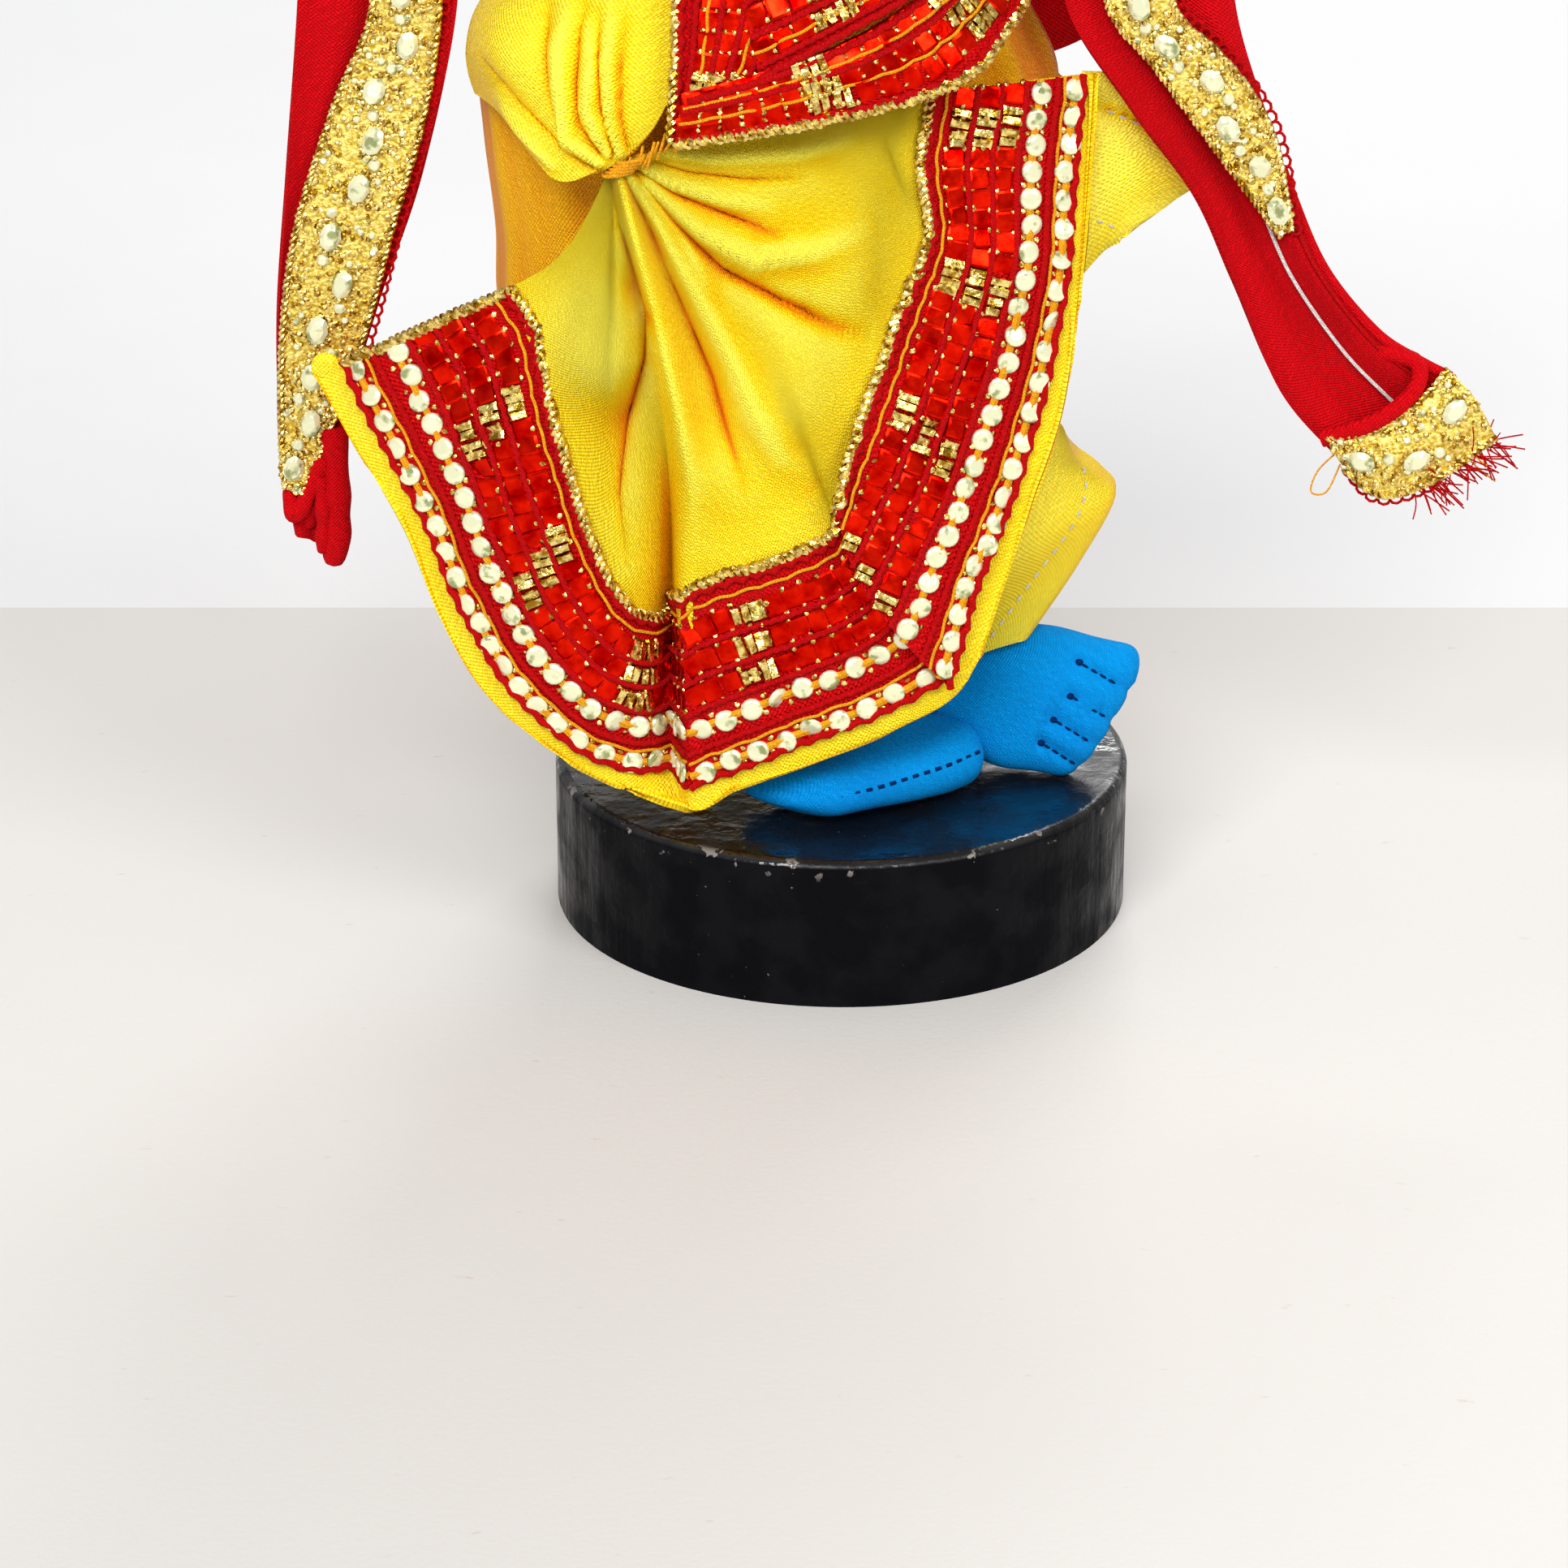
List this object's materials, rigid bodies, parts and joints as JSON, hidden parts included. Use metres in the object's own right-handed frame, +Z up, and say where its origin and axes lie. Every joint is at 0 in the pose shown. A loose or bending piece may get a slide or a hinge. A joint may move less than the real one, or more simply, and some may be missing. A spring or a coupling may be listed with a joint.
{
  "type": "dressed cloth figure on a stand",
  "caption": "Stuffed cloth figure in Rajasthani dress playing a flute, with jointed elbows, turning head and swinging stole, wired to a round lacquered base.",
  "frame": {"origin": "centre of the base disc's underside, on the disc's axis", "axes": "+Z up along the disc's axis; the figure faces -Y; its own right side is towards -X"},
  "size_m": [0.195, 0.095, 0.308],
  "materials": {
    "lacquered_wood": "turned wood in gloss black lacquer, worn at the rim",
    "steel_wire": "bright drawn wire",
    "blue_cotton": "stuffed plain-weave cotton",
    "yellow_satin": "yellow satin-faced cotton with a slight sheen",
    "brocade_tape": "woven tape with red foil squares, gold thread and small mirrors",
    "red_cotton": "soft red crinkled cotton",
    "gold_lace": "gold metallic lace with stones",
    "orange_thread": "sewing thread",
    "red_bead": "glossy beads",
    "pearl_bead": "pearl beads",
    "gilt_metal": "thin gilt metal",
    "black_yarn": "combed black yarn",
    "turban_cloth": "pleated and twisted cotton",
    "fan_cloth": "starched pleated cloth",
    "bamboo": "varnished bamboo"
  },
  "bodies": {
    "root": {"base_disc": "lacquered_wood", "right_leg_wire": "steel_wire", "left_leg_wire": "steel_wire", "right_foot": "blue_cotton", "left_foot": "blue_cotton", "right_leg": "blue_cotton", "left_leg": "blue_cotton", "pelvis": "blue_cotton", "torso": "blue_cotton", "spine_wire": "steel_wire", "arm_wire": "steel_wire", "neck": "blue_cotton", "dhoti_seat": "yellow_satin", "dhoti_apron": "yellow_satin", "dhoti_back_drape": "yellow_satin", "dhoti_side_flap": "yellow_satin", "dhoti_gather": "yellow_satin", "gather_tie": "orange_thread", "apron_tape_right": "brocade_tape", "apron_tape_front": "brocade_tape", "apron_tape_left": "brocade_tape", "waist_sash": "brocade_tape", "sash_tail": "brocade_tape", "sash_fold": "brocade_tape", "necklace": "pearl_bead", "pendant": "gilt_metal", "right_anklet": "red_bead", "left_anklet": "red_bead", "stole_back": "red_cotton", "right_stole_wrap": "red_cotton", "left_stole_wrap": "red_cotton", "right_upper_arm": "blue_cotton", "right_armlet": "gilt_metal", "right_elbow_pin": "steel_wire", "left_upper_arm": "blue_cotton", "left_armlet": "gilt_metal", "left_elbow_pin": "steel_wire"},
    "head": {"head": "blue_cotton", "hair": "black_yarn", "turban": "turban_cloth", "turban_band": "gilt_metal", "turban_jewel": "gilt_metal", "turban_fan": "fan_cloth", "right_earring": "gilt_metal", "left_earring": "gilt_metal"},
    "right_forearm": {"right_forearm": "blue_cotton", "right_forearm_wire": "steel_wire", "right_hand": "blue_cotton", "right_bangles": "red_bead"},
    "left_forearm": {"left_forearm": "blue_cotton", "left_forearm_wire": "steel_wire", "left_hand": "blue_cotton", "left_bangles": "red_bead"},
    "flute": {"flute": "bamboo", "flute_bindings": "gilt_metal", "flute_tassel": "turban_cloth"},
    "right_tail": {"right_stole_tail": "red_cotton", "right_stole_lace": "gold_lace"},
    "left_tail": {"left_stole_tail": "red_cotton", "left_stole_lace": "gold_lace"}
  },
  "joints": [
    {"name": "head_turn", "type": "hinge", "parent": "root", "child": "head", "pos_m": [-0.004, 0.001, 0.251], "axis": [0, 0, 1], "range_deg": [-25, 25]},
    {"name": "right_elbow_open", "type": "hinge", "parent": "root", "child": "right_forearm", "pos_m": [-0.082, -0.008, 0.203], "axis": [0.3537, -0.7336, -0.5803], "range_deg": [0, 50]},
    {"name": "left_elbow_open", "type": "hinge", "parent": "root", "child": "left_forearm", "pos_m": [0.048, -0.026, 0.195], "axis": [0.6333, -0.2431, 0.7348], "range_deg": [0, 50]},
    {"name": "flute_slide", "type": "slide", "parent": "right_forearm", "child": "flute", "axis": [-0.9989, 0, -0.0476], "range_m": [0, 0.045]},
    {"name": "right_tail_swing", "type": "hinge", "parent": "root", "child": "right_tail", "pos_m": [-0.07, -0.0095, 0.201], "axis": [1, 0, 0], "range_deg": [0, 30]},
    {"name": "left_tail_swing", "type": "hinge", "parent": "root", "child": "left_tail", "pos_m": [0.049, -0.012, 0.192], "axis": [-1, 0, 0], "range_deg": [0, 30]}
  ]
}
